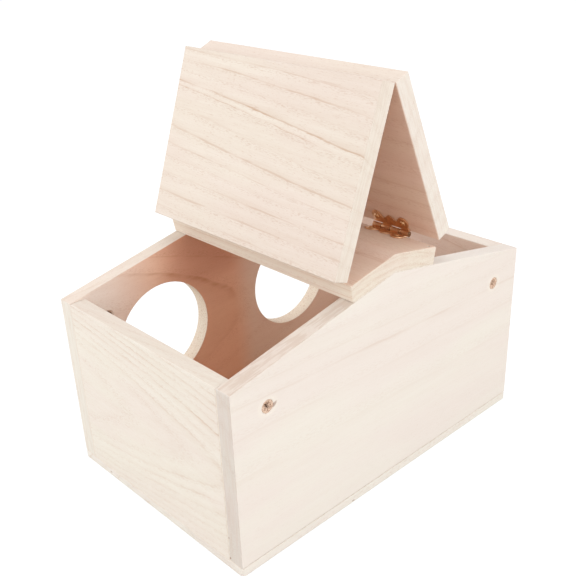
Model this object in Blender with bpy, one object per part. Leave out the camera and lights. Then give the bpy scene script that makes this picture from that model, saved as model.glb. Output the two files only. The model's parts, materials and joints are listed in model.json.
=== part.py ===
"""Parrot nest box: a glued wooden box with a fixed ridge board and two hinged roof lids.

Metres, +Z up. The origin lies on the underside, in the middle of the footprint. X runs along the
box and -Y is the side with the two entrance holes. The lids stand open and lean on each other.
"""

import math

import bmesh
import bpy
from mathutils import Vector

# Boards
box_length = 0.280
box_width = 0.180
eaves_height = 0.133
gable_height = 0.1605
board_thickness = 0.012
bottom_thickness = 0.0065
ridge_reach = 0.0398
ridge_round = 0.010
right_lid_length = 0.1185
left_lid_length = 0.121
broken_edge = 0.0004

# Gaps between pieces
seam = 0.0003
fine_seam = 0.00015
lid_gap = 0.002
tent_gap = 0.0004

# Holes in the long sides
entrance_radius = 0.040
entrance_inset = 0.07475
entrance_height = 0.0816
cord_hole_radius = 0.0045
cord_hole_inset = 0.0277
cord_hole_height = 0.1133

# Butterfly hinges: two like leaves with two knuckles each
hinge_length = 0.032
hinge_inset = 0.040
barrel_radius = 0.0019
pin_radius = 0.0009
pin_clearance = 0.0001
pin_crown = 0.0003
knuckle_gap = 0.0003
leaf_thickness = 0.0008
leaf_clearance = 0.0004
lobe_radius = 0.0046
peak_reach = 0.0107
waist_reach = 0.0070
waist_inset = 0.0057
neck_reach = 0.0032
neck_depth = 0.0009
screw_reach = 0.0075
screw_inset = 0.0045

# Round-head screws with a cross slot
screw_length = 0.008
screw_radius = 0.0009
screw_point = 0.0018
screw_clearance = 0.0001
head_radius = 0.0021
head_rim = 0.0003
head_height = 0.0010
slot_length = 0.0024
slot_width = 0.0005
slot_depth = 0.0005

# Brads
brad_radius = 0.0006
brad_head_radius = 0.0009
brad_head_height = 0.0005
brad_sink = 0.0004
brad_point = 0.0012
brad_clearance = 0.0001
bottom_brad_length = 0.018
ridge_brad_length = 0.024
side_brad_inset = 0.030
end_brad_inset = 0.045
ridge_brad_edge_inset = 0.005
ridge_brad_end_inset = 0.0025

# How far cuts run past a face, when points merge, and how finely round shapes are cut up
overrun = 0.001
merge_distance = 0.000002
entrance_sides = 56
cord_hole_sides = 16
barrel_sides = 16
screw_sides = 12
brad_sides = 8
lobe_steps = 9
flank_steps = 6
head_steps = 3
ridge_steps = 3
waist_cut = math.radians(12)
neck_cut = math.radians(8)
edge_angle = math.radians(60)
smooth_angle = math.radians(35)

# Places and angles that follow from the sizes
half_length = box_length / 2
half_width = box_width / 2
screw_spacing = hinge_length - 2 * screw_inset
waist_offset = screw_spacing / 2 - waist_inset
wall_base = bottom_thickness + seam
side_centre = half_width - board_thickness / 2
end_centre = half_length - board_thickness / 2
slope = math.atan((gable_height - eaves_height) / half_length)
down_slope = Vector((math.cos(slope), 0, -math.sin(slope)))
off_slope = Vector((math.sin(slope), 0, math.cos(slope)))
ridge_under = Vector((0, 0, gable_height + seam / math.cos(slope)))
ridge_corner = ridge_under + down_slope * ridge_reach + off_slope * board_thickness
axis_height = barrel_radius + fine_seam
hinge_axis = ridge_corner + down_slope * lid_gap / 2 + off_slope * axis_height
knuckle_length = (hinge_length - 3 * knuckle_gap) / 4
leaf_top = leaf_thickness - barrel_radius
head_seat = leaf_top + fine_seam

WOOD = ("wood", (0.86, 0.74, 0.60), 0.75, 0.0)
BRASS = ("hinge_brass", (0.55, 0.33, 0.16), 0.35, 1.0)
SCREW_BRASS = ("screw_brass", (0.62, 0.42, 0.20), 0.30, 1.0)
STEEL = ("brad_steel", (0.55, 0.54, 0.52), 0.40, 1.0)


def material(look):
    """Principled material, shared by the pieces that look alike."""
    name, colour, roughness, metallic = look
    found = bpy.data.materials.get(name)
    if found:
        return found
    made = bpy.data.materials.new(name)
    made.use_nodes = True
    shader = made.node_tree.nodes["Principled BSDF"]
    shader.inputs["Base Color"].default_value = (*colour, 1.0)
    shader.inputs["Roughness"].default_value = roughness
    shader.inputs["Metallic"].default_value = metallic
    return made


def finished(bm, name):
    """Mesh of a bmesh, with its faces turned outwards."""
    bmesh.ops.recalc_face_normals(bm, faces=bm.faces)
    mesh = bpy.data.meshes.new(name)
    bm.to_mesh(mesh)
    bm.free()
    return mesh


def add_prism(bm, points, push):
    """Close the points as a face and push it along a vector into a solid."""
    face = bm.faces.new([bm.verts.new(point) for point in points])
    pushed = bmesh.ops.extrude_face_region(bm, geom=[face])
    moved = [item for item in pushed["geom"] if isinstance(item, bmesh.types.BMVert)]
    bmesh.ops.translate(bm, verts=moved, vec=push)


def prism(name, points, push):
    """Solid with one outline, given in space, all the way along a vector."""
    bm = bmesh.new()
    add_prism(bm, points, push)
    return finished(bm, name)


def turned(name, profile, sides):
    """Solid of revolution about Z from (radius, height) points that start and end on the axis."""
    bm = bmesh.new()
    verts = [bm.verts.new((radius, 0, height)) for radius, height in profile]
    edges = [bm.edges.new(pair) for pair in zip(verts, verts[1:])]
    bmesh.ops.spin(bm, geom=verts + edges, cent=(0, 0, 0), axis=(0, 0, 1),
                   angle=math.tau, steps=sides, use_merge=True)
    bmesh.ops.remove_doubles(bm, verts=bm.verts, dist=merge_distance)
    return smooth(finished(bm, name))


def smooth(mesh):
    """Mesh with its round faces shaded smooth and its real edges left sharp."""
    mesh.shade_smooth()
    mesh.set_sharp_from_angle(angle=smooth_angle)
    return mesh


def placed(name, mesh, look, parent=None, at=(0, 0, 0), turn=(0, 0, 0)):
    """Object of a mesh, at a place and an angle within its parent."""
    piece = bpy.data.objects.new(name, mesh)
    bpy.context.scene.collection.objects.link(piece)
    piece.parent = parent
    piece.location = at
    piece.rotation_euler = turn
    if look and not mesh.materials:
        mesh.materials.append(material(look))
    return piece


def frame(name, at, turn):
    """Empty that carries the pieces of one hinge line."""
    empty = bpy.data.objects.new(name, None)
    bpy.context.scene.collection.objects.link(empty)
    empty.location = at
    empty.rotation_euler = turn
    return empty


def cutter(name, mesh, parent=None, at=(0, 0, 0), turn=(0, 0, 0)):
    """Guide solid that only shapes other pieces."""
    guide = placed(name, mesh, None, parent, at, turn)
    guide.hide_render = True
    guide.display_type = "WIRE"
    return guide


def cut(piece, guide, operation="DIFFERENCE"):
    """Shape a piece with a guide solid."""
    step = piece.modifiers.new(guide.name, "BOOLEAN")
    step.object = guide
    step.operation = operation
    step.solver = "EXACT"


def break_edges(piece):
    """Take the sharp edges off a sawn board, as light sanding does."""
    step = piece.modifiers.new("broken_edge", "BEVEL")
    step.width = broken_edge
    step.segments = 1
    step.limit_method = "ANGLE"
    step.angle_limit = edge_angle


def baked(piece):
    """Mesh of a piece with its shaping steps taken, to be shared by its copies."""
    seen = piece.evaluated_get(bpy.context.evaluated_depsgraph_get())
    mesh = bpy.data.meshes.new_from_object(seen)
    mesh.name = piece.name
    return smooth(mesh)


def angles(start, end, steps):
    """Evenly spaced angles, both ends taken in."""
    return [start + (end - start) * k / steps for k in range(steps + 1)]


def arc(centre, radius, start, end, steps):
    """Points of a circle about a centre, from one angle to another."""
    return [(centre[0] + radius * math.cos(a), centre[1] + radius * math.sin(a))
            for a in angles(start, end, steps)]


def rectangle(half_x, half_y, z):
    """Corners of a level rectangle about the origin."""
    return [(-half_x, -half_y, z), (half_x, -half_y, z), (half_x, half_y, z), (-half_x, half_y, z)]


def drum(name, radius, length, sides):
    """Round bar along Y, centred on its place, that cuts holes."""
    ring = [(x, -length / 2, z) for x, z in arc((0, 0), radius, 0, math.tau, sides)[:-1]]
    return smooth(prism(name, ring, (0, length, 0)))


def gable_panel(name, side, has_entrances):
    """Long side of the box: its top rises from both ends to the ridge."""
    outer = side * half_width
    inner = side * (half_width - board_thickness)
    corners = [(-half_length, wall_base), (half_length, wall_base), (half_length, eaves_height),
               (0, gable_height), (-half_length, eaves_height)]
    panel = placed(name, prism(name, [(x, inner, z) for x, z in corners], (0, outer - inner, 0)), WOOD)
    through = board_thickness + 2 * overrun
    holes = [(side_x * (half_length - cord_hole_inset), cord_hole_height, "cord_hole",
              cord_hole_radius, cord_hole_sides) for side_x in (-1, 1)]
    if has_entrances:
        holes += [(side_x * (half_length - entrance_inset), entrance_height, "entrance",
                   entrance_radius, entrance_sides) for side_x in (-1, 1)]
    for number, (x, z, kind, radius, sides) in enumerate(holes, 1):
        guide_name = f"{name}_{kind}_{number}"
        guide = cutter(guide_name, drum(guide_name, radius, through, sides), at=(x, side * side_centre, z))
        cut(panel, guide)
    break_edges(panel)
    return panel


def end_panel(name, side):
    """Short side of the box, held between the long sides and flush with their ends."""
    half = half_width - board_thickness - seam
    outline = rectangle(board_thickness / 2, half, wall_base)
    mesh = prism(name, outline, (0, 0, eaves_height - wall_base))
    panel = placed(name, mesh, WOOD, at=(side * end_centre, 0, 0))
    break_edges(panel)
    return panel


def bottom():
    """Thin board that all four walls stand on."""
    mesh = prism("bottom_board", rectangle(half_length, half_width, 0), (0, 0, bottom_thickness))
    panel = placed("bottom_board", mesh, WOOD)
    break_edges(panel)
    return panel


def ridge():
    """Chevron board over both gables, with square edges for the lids to meet.

    Its top is rounded where the slopes meet, on a circle that touches both.
    """
    under_corner = ridge_under + down_slope * ridge_reach
    circle_height = ridge_under.z + (board_thickness - ridge_round) / math.cos(slope)
    half_turn = math.pi / 2
    crown = arc((0, circle_height), ridge_round, half_turn - slope, half_turn + slope, ridge_steps)
    right = [(under_corner.x, under_corner.z), (ridge_corner.x, ridge_corner.z)]
    left = [(-x, z) for x, z in reversed(right)]
    outline = [(ridge_under.x, ridge_under.z), *right, *crown, *left]
    points = [(x, -half_width, z) for x, z in outline]
    board = placed("ridge_board", prism("ridge_board", points, (0, box_width, 0)), WOOD)
    break_edges(board)
    return board


def lid(name, pivot, length):
    """Roof lid, drawn in the frame of its hinge line with its top face up."""
    half = length / 2
    outline = [(x + lid_gap / 2 + half, y, z) for x, y, z in rectangle(half, half_width, -axis_height)]
    board = placed(name, prism(name, outline, (0, 0, -board_thickness)), WOOD, pivot)
    break_edges(board)
    return board


def leaf_outline():
    """Butterfly outline of one leaf in plan: a peak between two round lobes.

    From the peak the edge falls in an ogee to the waist, rounds the lobe about its screw, and
    draws in at the neck before the end of the barrel.
    """
    lobe = (screw_reach, screw_spacing / 2)
    flank = []
    for k in range(flank_steps + 1):
        share = k / flank_steps
        fall = (1 - math.cos(math.pi * share)) / 2
        flank.append((peak_reach + (waist_reach - peak_reach) * fall, waist_offset * share))
    waist_angle = math.atan2(waist_offset - lobe[1], waist_reach - lobe[0])
    neck = (neck_reach, hinge_length / 2 - neck_depth)
    neck_angle = math.atan2(neck[1] - lobe[1], neck[0] - lobe[0])
    rounding = arc(lobe, lobe_radius, waist_angle + waist_cut, neck_angle - neck_cut, lobe_steps)
    barrel_end = [neck, (leaf_clearance, hinge_length / 2), (-barrel_radius - overrun, hinge_length / 2)]
    half = flank + rounding + barrel_end
    mirrored = [(x, -y) for x, y in reversed(half[1:])]
    return half + mirrored


def leaf_profile():
    """Section of a leaf: a flat plate whose bottom runs into the round of the barrel."""
    meet = math.acos((barrel_radius - leaf_thickness) / barrel_radius)
    rim = arc((0, 0), barrel_radius, -math.pi / 2, -math.tau - math.pi / 2 + meet, barrel_sides)
    far = peak_reach + lobe_radius
    return [(far, -barrel_radius), *rim, (far, leaf_top)]


def screw_places():
    """The two screw centres of a leaf."""
    return [(screw_reach, side * screw_spacing / 2) for side in (-1, 1)]


def knuckle_rooms():
    """Stretches of the barrel that a leaf leaves to the other's knuckles, the second and the fourth."""
    pitch = knuckle_length + knuckle_gap
    second = pitch - hinge_length / 2
    fourth = 3 * pitch - hinge_length / 2
    return [(second - knuckle_gap, second + pitch), (fourth - knuckle_gap, hinge_length / 2 + overrun)]


def hinge_leaf():
    """Mesh of a leaf with the first and third knuckles; turned half round it is the other leaf."""
    profile = [(x, -hinge_length / 2, z) for x, z in leaf_profile()]
    blank = cutter("hinge_leaf", prism("hinge_leaf", profile, (0, hinge_length, 0)))
    outline = [(x, y, -barrel_radius - overrun) for x, y in leaf_outline()]
    height = 2 * (barrel_radius + overrun)
    cut(blank, cutter("leaf_edge", prism("leaf_edge", outline, (0, 0, height))), "INTERSECT")
    room = bmesh.new()
    for first, last in knuckle_rooms():
        reach = barrel_radius + leaf_clearance
        corners = [(-reach, first), (reach, first), (reach, last), (-reach, last)]
        add_prism(room, [(x, y, -barrel_radius - overrun) for x, y in corners], (0, 0, height))
    cut(blank, cutter("knuckle_room", finished(room, "knuckle_room")))
    bore_length = hinge_length + 2 * overrun
    bore = drum("pin_bore", pin_radius + pin_clearance, bore_length, barrel_sides)
    cut(blank, cutter("pin_bore", bore))
    for number, (x, y) in enumerate(screw_places(), 1):
        hole = turned(f"leaf_hole_{number}", plain_bar(screw_radius + screw_clearance, height), screw_sides)
        cut(blank, cutter(f"leaf_hole_{number}", hole, at=(x, y, height / 2)))
    return baked(blank)


def plain_bar(radius, length):
    """Profile of a bar that hangs down from its place."""
    return [(0, -length), (radius, -length), (radius, 0), (0, 0)]


def screw_profile(grow=0.0):
    """Profile of a round-head screw, its head's seat at height zero, or of room around it."""
    shank = screw_radius + grow
    tip = -screw_length - grow
    return [(0, tip), (shank, tip + screw_point), (shank, 0)]


def hinge_screw():
    """Mesh of a screw with a domed head and a cross slot."""
    rise = head_height - head_rim
    dome = [(head_radius * math.cos(a), head_rim + rise * math.sin(a))
            for a in angles(0, math.pi / 2, head_steps)[:-1]]
    profile = [*screw_profile(), (head_radius, 0), *dome, (0, head_height)]
    blank = cutter("hinge_screw", turned("hinge_screw", profile, screw_sides))
    arm = slot_length / 2
    side = slot_width / 2
    corners = [(arm, -side), (arm, side), (side, side), (side, arm), (-side, arm), (-side, side),
               (-arm, side), (-arm, -side), (-side, -side), (-side, -arm), (side, -arm), (side, -side)]
    cross = prism("cross_slot", [(x, y, head_height - slot_depth) for x, y in corners],
                  (0, 0, slot_depth + overrun))
    cut(blank, cutter("cross_slot", cross))
    return baked(blank)


def brad_profile(length, grow=0.0):
    """Profile of a brad whose head's top is sunk below height zero, or of room around it."""
    top = overrun if grow else -brad_sink
    neck = -brad_sink - brad_head_height - grow
    tip = -length - grow
    return [(0, tip), (brad_radius + grow, tip + brad_point), (brad_radius + grow, neck),
            (brad_head_radius + grow, neck), (brad_head_radius + grow, top), (0, top)]


def drive_brad(name, at, turn, length, boards):
    """Brad driven from its place through one board into the next."""
    placed(name, turned(name, brad_profile(length), brad_sides), STEEL, at=at, turn=turn)
    guide_name = f"{name}_bore"
    bore = turned(guide_name, brad_profile(length, brad_clearance), brad_sides)
    guide = cutter(guide_name, bore, at=at, turn=turn)
    for board in boards:
        cut(board, guide)


def fit_leaf(name, line, y, leaf, screw, board):
    """One leaf with its two screws, and the pilot holes they turn into."""
    placed(f"{name}_leaf", leaf, BRASS, line, at=(0, y, 0))
    for number, (reach, offset) in enumerate(screw_places(), 1):
        at = (reach, y + offset, head_seat)
        placed(f"{name}_screw_{number}", screw, SCREW_BRASS, line, at=at)
        guide_name = f"{name}_pilot_{number}"
        pilot = turned(guide_name, [*screw_profile(screw_clearance), (0, 0)], screw_sides)
        cut(board, cutter(guide_name, pilot, line, at=at))


def pin_mesh():
    """Hinge pin with slightly crowned ends, drawn upright."""
    half = hinge_length / 2
    crown = pin_radius - pin_crown
    profile = [(0, -half - pin_crown), (crown, -half - pin_crown), (pin_radius, -half),
               (pin_radius, half), (crown, half + pin_crown), (0, half + pin_crown)]
    return turned("hinge_pin", profile, barrel_sides)


def tent_leans():
    """Angle of each open lid from the upright, where the lids' far edges meet.

    The two hinge lines and the meeting point make a triangle with known sides.
    """
    base = 2 * hinge_axis.x - tent_gap
    right = math.hypot(lid_gap / 2 + right_lid_length, axis_height)
    left = math.hypot(lid_gap / 2 + left_lid_length, axis_height)
    leans = []
    for own, other in ((right, left), (left, right)):
        corner = math.acos((base ** 2 + own ** 2 - other ** 2) / (2 * base * own))
        leans.append(math.pi / 2 - corner + math.asin(axis_height / own))
    return leans


def hinge_side(name, side, lean, length, ridge_board, leaf, screw, pin):
    """Everything at one edge of the ridge board: a lid, two hinges and their screws."""
    heading = 0 if side > 0 else math.pi
    at = (side * hinge_axis.x, 0, hinge_axis.z)
    pivot = frame(f"{name}_lid_pivot", at, (0, -lean - math.pi / 2, heading))
    rest = frame(f"{name}_ridge_line", at, (0, -slope, heading + math.pi))
    board = lid(f"{name}_lid", pivot, length)
    for where, y in (("front", hinge_inset - half_width), ("back", half_width - hinge_inset)):
        hinge = f"{name}_{where}_hinge"
        fit_leaf(f"{hinge}_moving", pivot, side * y, leaf, screw, board)
        fit_leaf(f"{hinge}_fixed", rest, -side * y, leaf, screw, ridge_board)
        placed(f"{hinge}_pin", pin, STEEL, rest, at=(0, -side * y, 0), turn=(math.pi / 2, 0, 0))


def box():
    """Bottom, walls and ridge board with the brads that hold them."""
    bottom_board = bottom()
    front = gable_panel("front_panel", -1, True)
    back = gable_panel("back_panel", 1, False)
    right = end_panel("right_end_panel", 1)
    left = end_panel("left_end_panel", -1)
    ridge_board = ridge()
    upwards = (math.pi, 0, 0)
    far_x = half_length - side_brad_inset
    far_y = half_width - end_brad_inset
    places = []
    for wall, side in ((front, -1), (back, 1)):
        places += [(x, side * side_centre, wall) for x in (-far_x, 0, far_x)]
    for wall, side in ((left, -1), (right, 1)):
        places += [(side * end_centre, y, wall) for y in (-far_y, far_y)]
    for number, (x, y, wall) in enumerate(places, 1):
        drive_brad(f"bottom_brad_{number}", (x, y, 0), upwards, bottom_brad_length, (bottom_board, wall))
    top = ridge_corner - down_slope * ridge_brad_edge_inset
    end = half_width - ridge_brad_end_inset
    for number, (side, wall) in enumerate(((-1, back), (1, front)), 1):
        at = (side * top.x, -side * end, top.z)
        drive_brad(f"ridge_brad_{number}", at, (0, side * slope, 0), ridge_brad_length, (ridge_board, wall))
    return ridge_board


def build():
    """Whole nest box with its lids leaning on each other."""
    for old in list(bpy.data.objects):
        bpy.data.objects.remove(old, do_unlink=True)
    ridge_board = box()
    leaf = hinge_leaf()
    screw = hinge_screw()
    pin = pin_mesh()
    right_lean, left_lean = tent_leans()
    hinge_side("right", 1, right_lean, right_lid_length, ridge_board, leaf, screw, pin)
    hinge_side("left", -1, left_lean, left_lid_length, ridge_board, leaf, screw, pin)
    print("hinge axis at", [round(value, 6) for value in hinge_axis])
    print("lids swing shut by", [round(90 + math.degrees(lean + slope), 3) for lean in (right_lean, left_lean)])


build()
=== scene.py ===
# %% [markdown]
# # A wooden nest box, dressed in bare paulownia
#
# The solids of this box are already right: boards, hinges, screws and brads come from the packed
# frame. What is left to make is how sawn wood and thin brass look, and the small torn and
# glued places that a real box has.

# %% Load the frame
import json
import math

import bmesh
import bpy
import numpy as np
from mathutils import Matrix, Vector

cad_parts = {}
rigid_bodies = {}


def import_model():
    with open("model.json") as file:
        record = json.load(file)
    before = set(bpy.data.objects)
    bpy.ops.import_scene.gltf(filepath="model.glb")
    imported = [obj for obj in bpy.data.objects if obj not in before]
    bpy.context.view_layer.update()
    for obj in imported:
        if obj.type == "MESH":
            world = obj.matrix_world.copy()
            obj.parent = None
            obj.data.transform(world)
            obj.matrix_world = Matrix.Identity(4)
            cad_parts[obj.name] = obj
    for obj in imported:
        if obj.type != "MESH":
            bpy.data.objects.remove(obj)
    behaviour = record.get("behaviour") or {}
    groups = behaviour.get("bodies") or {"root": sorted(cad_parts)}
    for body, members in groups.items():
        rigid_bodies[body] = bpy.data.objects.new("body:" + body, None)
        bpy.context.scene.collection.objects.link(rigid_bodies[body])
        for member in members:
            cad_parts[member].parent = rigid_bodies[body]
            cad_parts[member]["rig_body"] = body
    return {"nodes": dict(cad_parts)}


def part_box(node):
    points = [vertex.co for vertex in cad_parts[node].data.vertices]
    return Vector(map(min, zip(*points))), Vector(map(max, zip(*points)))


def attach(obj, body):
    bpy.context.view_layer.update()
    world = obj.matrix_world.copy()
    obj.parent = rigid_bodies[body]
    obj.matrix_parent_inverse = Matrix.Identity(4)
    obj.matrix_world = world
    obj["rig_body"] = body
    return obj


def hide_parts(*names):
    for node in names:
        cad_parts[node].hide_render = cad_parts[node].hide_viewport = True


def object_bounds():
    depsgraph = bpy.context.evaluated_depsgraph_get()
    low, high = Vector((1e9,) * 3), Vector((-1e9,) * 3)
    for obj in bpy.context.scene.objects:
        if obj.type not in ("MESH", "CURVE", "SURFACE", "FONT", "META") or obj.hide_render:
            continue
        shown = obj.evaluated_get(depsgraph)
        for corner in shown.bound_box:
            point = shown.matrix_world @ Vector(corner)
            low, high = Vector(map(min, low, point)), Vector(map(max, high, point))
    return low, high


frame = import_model()
nodes = frame["nodes"]
cad_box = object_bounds()
mm = 0.001

# %% [markdown]
# ## The camera
#
# The picture is taken from a corner of the box, a little above the roof. The camera's angles come
# from fitting a pinhole camera to the corners of the box. The camera is near, so the upright edges
# draw together towards the floor. The picture's centre lies off the lens axis, which the two shifts
# take up.

# %% Camera
picture_size = 576
turn_round, height_angle, roll = map(math.radians, (138.002, 26.906, -2.553))
camera_distance = 0.85295
aim = Vector((-0.12359, -0.15680, 0.00307))
focal_pixels = 861.39
axis_x, axis_y = 281.04, 309.02
sensor_width = 36
nearest_seen = 0.01


def add_object(name, data):
    """New object in the scene that shows the given data."""
    made = bpy.data.objects.new(name, data)
    bpy.context.scene.collection.objects.link(made)
    return made


backwards = Vector((math.sin(turn_round) * math.cos(height_angle),
                    -math.cos(turn_round) * math.cos(height_angle), math.sin(height_angle)))
level_right = (-backwards).cross(Vector((0, 0, 1))).normalized()
level_up = level_right.cross(-backwards)
right = math.cos(roll) * level_right + math.sin(roll) * level_up
up = math.cos(roll) * level_up - math.sin(roll) * level_right

lens = bpy.data.cameras.new("camera")
lens.sensor_width = sensor_width
lens.lens = focal_pixels * sensor_width / picture_size
lens.shift_x = 0.5 - axis_x / picture_size
lens.shift_y = axis_y / picture_size - 0.5
lens.clip_start = nearest_seen
camera = add_object("camera", lens)
turned = Matrix((right, up, backwards)).transposed().to_4x4()
camera.matrix_world = Matrix.Translation(aim + backwards * camera_distance) @ turned
bpy.context.scene.camera = camera
print(f"lens {lens.lens:.1f} mm, shift {lens.shift_x:.3f}, {lens.shift_y:.3f}")

# %% [markdown]
# ## Small helpers for shader nodes
#
# Materials here are node trees made in code. `put` adds a node and feeds its sockets with values or
# with other nodes' outputs, and most of the rest put one kind of node each: `math_of` counts, `ramp`
# carries a value from one range to another, `blend_of` mixes colours, and `noise` gives the
# unevenness of natural things.

# %% Node helpers
def feed(tree, node, feeds):
    """Give each named socket of a node its value, or link it to another node's output."""
    for socket, value in feeds.items():
        if isinstance(value, bpy.types.NodeSocket):
            tree.links.new(value, node.inputs[socket])
        else:
            node.inputs[socket].default_value = value


def put(tree, kind, feeds=None, **options):
    """Add a node of a kind such as Math, set its options and feed its sockets."""
    node = tree.nodes.new("ShaderNode" + kind)
    for option, value in options.items():
        setattr(node, option, value)
    feed(tree, node, feeds or {})
    return node


def math_of(tree, operation, *terms):
    """Result of one Math node over its terms."""
    return put(tree, "Math", dict(enumerate(terms)), operation=operation).outputs[0]


def product_of(tree, *factors):
    """Product of two or more values."""
    product = factors[0]
    for factor in factors[1:]:
        product = math_of(tree, "MULTIPLY", product, factor)
    return product


def shared(tree, first, second, share):
    """A share of the first value and the rest of the second, added up."""
    return math_of(tree, "ADD", product_of(tree, first, share), product_of(tree, second, 1 - share))


def vector_of(tree, operation, *terms, output="Vector", **feeds):
    """Result of one Vector Math node over its terms: a vector, or a Value such as a length."""
    fed = dict(enumerate(terms)) | feeds
    return put(tree, "VectorMath", fed, operation=operation).outputs[output]


def split(tree, vector):
    """The X, Y and Z of a vector."""
    return put(tree, "SeparateXYZ", {0: vector}).outputs


def ramp(tree, value, low, high, to_low=0.0, to_high=1.0, soft=True):
    """Value carried from one range to another, with soft ends unless told otherwise."""
    feeds = {"Value": value, "From Min": low, "From Max": high, "To Min": to_low, "To Max": to_high}
    kind = "SMOOTHSTEP" if soft else "LINEAR"
    return put(tree, "MapRange", feeds, interpolation_type=kind, clamp=True).outputs[0]


def noise(tree, vector, scale, detail=2.0, roughness=0.5, output="Fac"):
    """Smooth noise along a vector: one value between 0 and 1, or three of them as a Color."""
    feeds = {"Vector": vector, "Scale": scale, "Detail": detail, "Roughness": roughness}
    return put(tree, "TexNoise", feeds).outputs[output]


print("number helpers ready")

# %% Colour and group helpers
vectors = ("Board", "Facing", "Pith", "Place")
colours = ("Bright", "Colour", "Dull", "End Colour", "Tone")


def opaque(colour):
    """Colour with the fourth number that a socket asks for, or another node's output as it is."""
    return colour if isinstance(colour, bpy.types.NodeSocket) else (*colour, 1)


def blend_of(tree, share, first, second, mode="MIX"):
    """Two colours mixed by a share. A Mix node has its colours on sockets 6 and 7, and output 2."""
    feeds = {0: share, 6: opaque(first), 7: opaque(second)}
    return put(tree, "Mix", feeds, data_type="RGBA", blend_type=mode).outputs[2]


def coated(tree, colour, coats, mode="MIX"):
    """Colour with one tint after another laid over it, each by its own share."""
    for share, tint in coats:
        colour = blend_of(tree, share, colour, tint, mode)
    return colour


def new_group(name, inputs, outputs):
    """Shader node group: its tree, what it is given, and its output node. A socket holds a number,
    unless its name is one of the vectors or the colours."""
    tree = bpy.data.node_groups.new(name, "ShaderNodeTree")
    for way, labels in (("INPUT", inputs), ("OUTPUT", outputs)):
        for label in labels:
            kind = "Vector" if label in vectors else "Color" if label in colours else "Float"
            tree.interface.new_socket(label, in_out=way, socket_type="NodeSocket" + kind)
    return tree, tree.nodes.new("NodeGroupInput").outputs, tree.nodes.new("NodeGroupOutput")


def grouped(tree, group, feeds):
    """Outputs of a group that is placed in a tree and fed."""
    return put(tree, "Group", feeds, node_tree=group).outputs


print("colour and group helpers ready")

# %% [markdown]
# ## Growth rings
#
# A tree lays down one ring a year, so in a board the rings are slices of nested tubes. If the tubes
# are drawn in space and the board only cuts them, then the face, the edges and the sawn ends all
# agree, as they do in real wood. The first group works in the board's own directions, in
# millimetres: x along the grain, y across it, z through the thickness. It puts out the distance to
# the pith, the soft line in the middle of the trunk. A slow noise bends the tubes, because no trunk
# is straight. Finer ones make their edges fuzzy, and a swirl leans the lines of one level more than
# the others, as they do beside an old branch.

# %% Bent trunk group
trunk, given, result = new_group(
    "bent_trunk", ("Board", "Pith", "Wander", "Swirl", "Swirl Level", "Fuzz", "Seed"), ("Radius",))
slow_bend, quick_bend, fuzz_stretch = (0.006, 0.016, 0.016), (0.03, 0.09, 0.09), (0.05, 1.3, 1.3)
quick_share = 0.16
swirl_reach = 60.0


def board_noise(tree, given, stretch, detail=2.0, roughness=0.5, output="Fac"):
    """Noise in the directions of the board that a group is given. It is finer the way that its
    stretch is greater, and the seed moves it, so that no two boards are alike."""
    moved = put(tree, "CombineXYZ", {axis: given["Seed"] for axis in "XYZ"}).outputs[0]
    spot = vector_of(tree, "ADD", vector_of(tree, "MULTIPLY", given["Board"], stretch), moved)
    return noise(tree, spot, 1.0, detail, roughness, output)


place = given["Board"]
for stretch, share in ((slow_bend, 1.0), (quick_bend, quick_share)):
    sway = board_noise(trunk, given, stretch, output="Color")
    sway = vector_of(trunk, "SUBTRACT", sway, (0.5, 0.5, 0.5))
    amount = product_of(trunk, given["Wander"], share)
    place = vector_of(trunk, "ADD", place, vector_of(trunk, "SCALE", sway, Scale=amount))
place = split(trunk, place)
off_level = math_of(trunk, "ABSOLUTE", math_of(trunk, "SUBTRACT", place["Y"], given["Swirl Level"]))
lean = product_of(trunk, ramp(trunk, off_level, 0.0, swirl_reach, 1.0, 0.0), given["Swirl"])
across = math_of(trunk, "MULTIPLY_ADD", place["X"], lean, place["Y"])
in_slice = put(trunk, "CombineXYZ", {"Y": across, "Z": place["Z"]}).outputs[0]
radius = vector_of(trunk, "DISTANCE", in_slice, given["Pith"], output="Value")
fuzz = math_of(trunk, "SUBTRACT", board_noise(trunk, given, fuzz_stretch), 0.5)
fuzz = product_of(trunk, fuzz, given["Fuzz"])
feed(trunk, result, {"Radius": math_of(trunk, "ADD", radius, fuzz)})
print("bent_trunk has", len(trunk.nodes), "nodes")

# %% [markdown]
# No two years are alike, so every board has its own table of years: how far each ring's dark edge
# lies from the pith, and how dark it is. Float Curve nodes hold such a table. One turns the distance
# into a count of years, and a second one gives the darkness of the year. Where the picture shows a
# board's lines, the table is set to them, and elsewhere it is drawn by lot.

# %% Tables of years
def drawn_years(first, last, width, darkness, seed):
    """Years from one radius to another: widths spread evenly about a mean, and darkness by lot."""
    lot = np.random.default_rng(seed)
    enough = int(2 * (last - first) / width)
    edges = first + np.cumsum(lot.uniform(0.45, 1.55, enough) * width)
    edges = edges[edges < last]
    shades = darkness * lot.uniform(0.2, 1.0, len(edges))
    return list(zip(edges.tolist(), shades.tolist()))


def paler(table, share):
    """The same years, with only a share of their darkness."""
    return [(edge, share * dark) for edge, dark in table]


def curve_of(tree, value, points):
    """Float Curve through points, straight from one to the next."""
    node = put(tree, "FloatCurve", {"Value": value})
    curve = node.mapping.curves[0]
    for x, y in points[1:-1]:
        curve.points.new(x, y)
    for knot, (x, y) in zip((curve.points[0], curve.points[-1]), (points[0], points[-1])):
        knot.location = x, y
    for knot in curve.points:
        knot.handle_type = "VECTOR"
    node.mapping.update()
    return node.outputs[0]


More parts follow.
